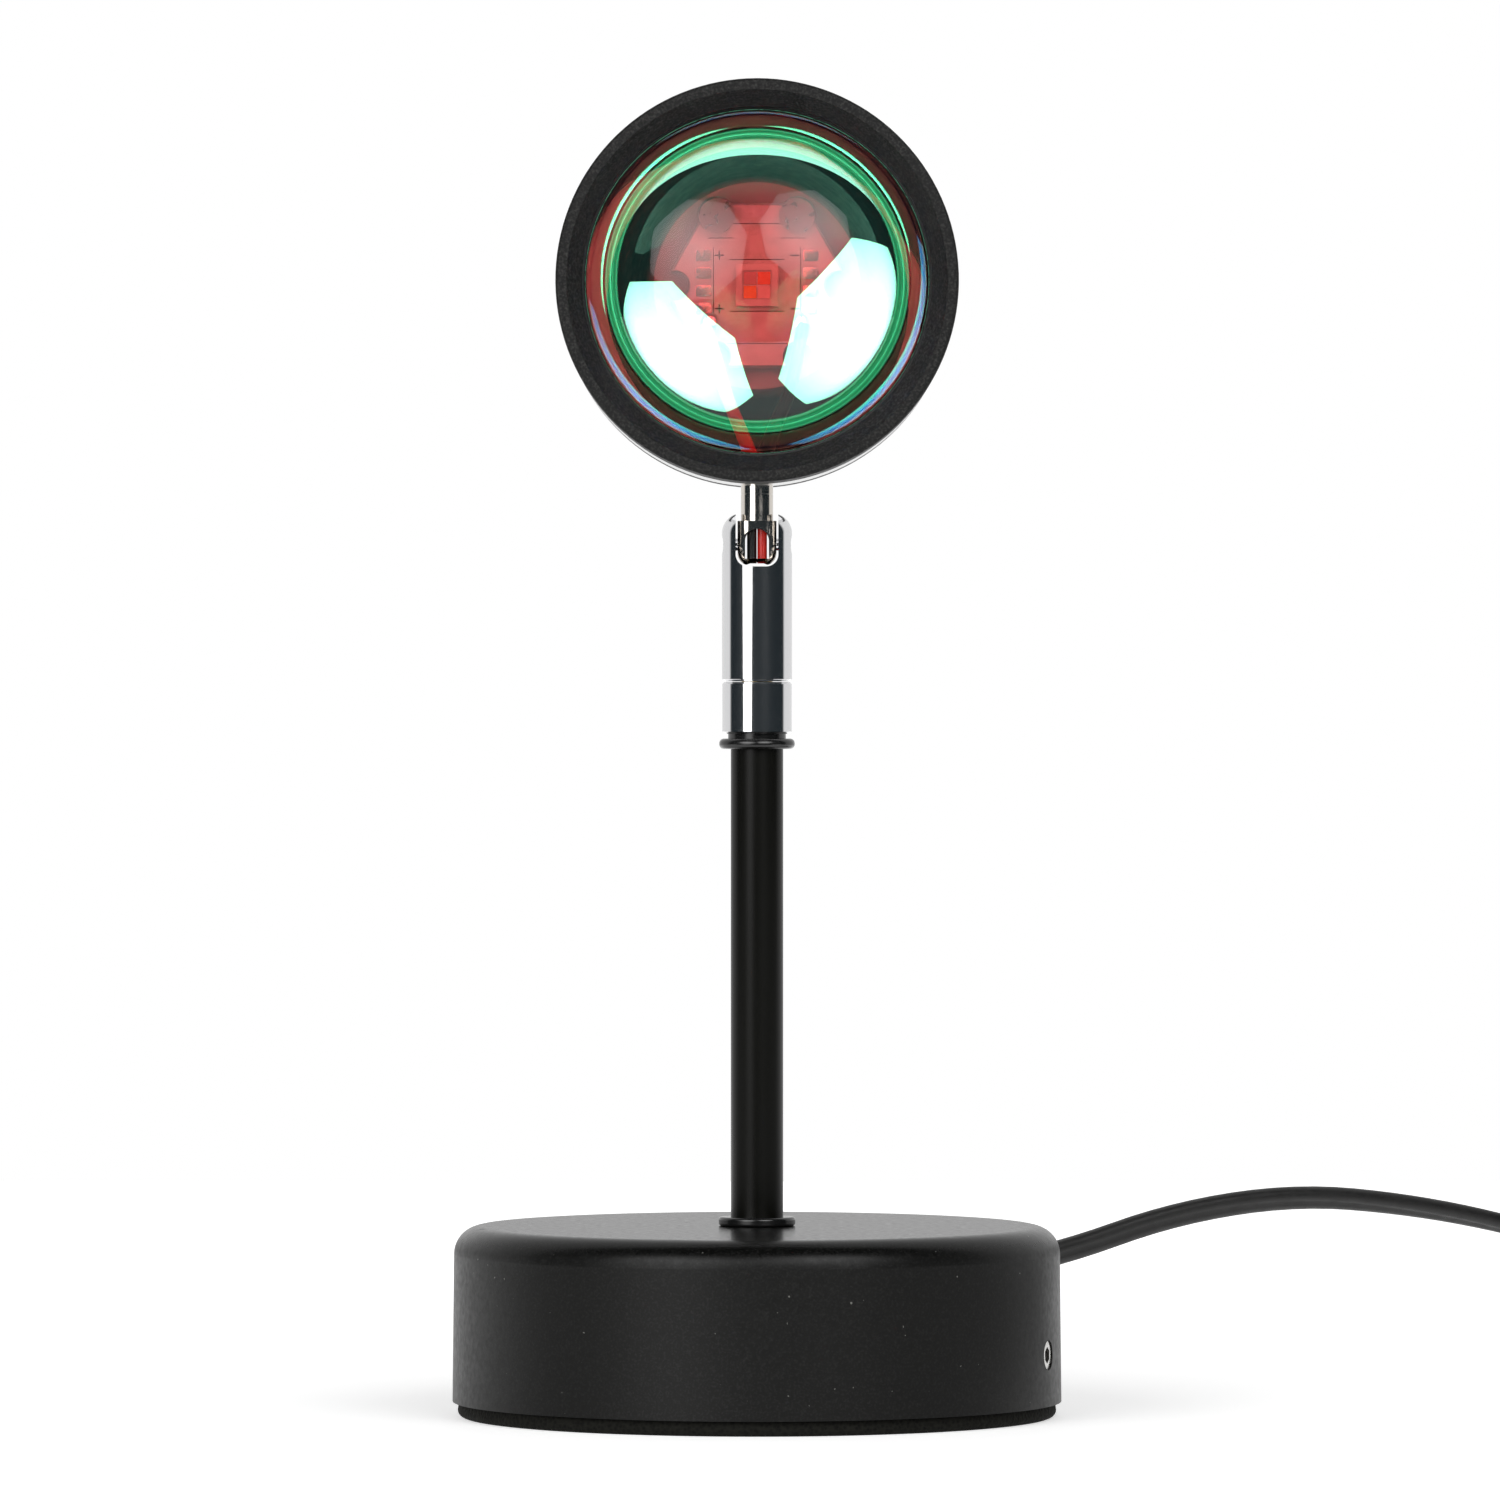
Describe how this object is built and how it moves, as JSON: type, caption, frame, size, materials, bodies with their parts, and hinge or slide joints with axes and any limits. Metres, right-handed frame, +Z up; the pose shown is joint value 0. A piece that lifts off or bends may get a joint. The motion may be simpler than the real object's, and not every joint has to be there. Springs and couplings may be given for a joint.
{
  "type": "projection lamp",
  "caption": "Small desk lamp that throws a coloured disc of light: weighted round base, thin pole, chrome swivel-and-tilt knuckle and a drum head with a domed lens, on a corded switch.",
  "frame": {"origin": "middle of the foam pad's lower face, on the surface that the lamp stands on", "axes": "+Z up along the pole; the lamp's lens faces -Y at rest; +X is to the right seen from the front"},
  "size_m": [0.2534, 0.202, 0.2177],
  "materials": {
    "foam": "soft black foam with fine closed cells",
    "base_black": "black powder coat with a fine speckle",
    "plate_steel": "zinc-plated steel",
    "cast_weight": "raw casting",
    "black_steel": "black oxide",
    "pole_black": "satin black",
    "black_gloss": "glossy black",
    "rubber_black": "smooth black rubber",
    "chrome": "mirror chrome plating",
    "bright_tube": "mirror-bright plating on a turned tube",
    "stem_brass": "turned brass",
    "bezel_black": "matt black paint with a fine grain",
    "lens_clear": "clear polished moulding",
    "film_coat": "colour-splitting coating, green-cyan in reflection",
    "liner_white": "plain white moulding",
    "sink_black": "black anodised turned aluminium",
    "post_dull": "dull turned aluminium",
    "board_white": "white solder mask on an aluminium core",
    "emitter_white": "white frame",
    "chip_amber": "amber phosphor",
    "wire_red": "red insulation",
    "wire_black": "black insulation",
    "cord_black": "black sheath, softly glossy",
    "tie_black": "black strap",
    "switch_black": "fine moulded grain",
    "button_black": "satin black",
    "plug_black": "moulded, fine grain",
    "plug_nickel": "nickel plating",
    "insert_white": "white moulding",
    "contact_gold": "gold flash"
  },
  "bodies": {
    "stand": {"foam_pad": "foam", "base_shell": "base_black", "bottom_plate": "plate_steel", "counterweight": "cast_weight", "side_screws": "black_steel", "cord_gland": "rubber_black", "pole": "pole_black", "pole_washer": "black_gloss", "lock_washer": "plate_steel", "pole_nut": "plate_steel", "o_ring": "rubber_black", "collar_spacer": "black_gloss", "lower_collar": "chrome", "stop_pin": "plate_steel", "swivel_stem": "stem_brass", "wave_washer": "plate_steel", "swivel_nut": "stem_brass", "stand_wire_red": "wire_red", "stand_wire_black": "wire_black", "cord_lead": "cord_black", "cord_coil": "cord_black", "cord_tail": "cord_black", "cord_end": "cord_black", "cord_tie": "tie_black", "switch_bottom": "switch_black", "switch_top": "switch_black", "switch_block": "switch_black", "switch_screws": "plate_steel", "plug_grip": "plug_black", "plug_shell": "plug_nickel", "plug_insert": "insert_white", "plug_contacts": "contact_gold"},
    "swivel": {"knuckle_body": "chrome", "pivot_screws": "chrome", "knuckle_wire_red": "wire_red", "knuckle_wire_black": "wire_black"},
    "head": {"tongue": "chrome", "neck_spacer": "chrome", "neck_nut": "plate_steel", "head_body": "bright_tube", "rear_cap": "bezel_black", "front_bezel": "bezel_black", "lens": "lens_clear", "colour_film": "film_coat", "lens_gasket": "rubber_black", "light_tube": "liner_white", "heat_sink": "sink_black", "sink_post": "post_dull", "led_board": "board_white", "board_screws": "plate_steel", "led_emitter": "emitter_white", "led_chips": "chip_amber", "head_wire_red": "wire_red", "head_wire_black": "wire_black"},
    "button": {"switch_button": "button_black"}
  },
  "joints": [
    {"name": "head_swivel", "type": "hinge", "parent": "stand", "child": "swivel", "pos_m": [0, 0, 0.1205], "axis": [0, 0, 1], "range_deg": [-160, 160]},
    {"name": "head_tilt", "type": "hinge", "parent": "swivel", "child": "head", "pos_m": [0, 0, 0.143], "axis": [1, 0, 0], "range_deg": [-90, 90]},
    {"name": "switch_press", "type": "slide", "parent": "stand", "child": "button", "axis": [0, 0, -1], "range_m": [0, 0.0015], "stiffness_N_per_m": 1500}
  ]
}
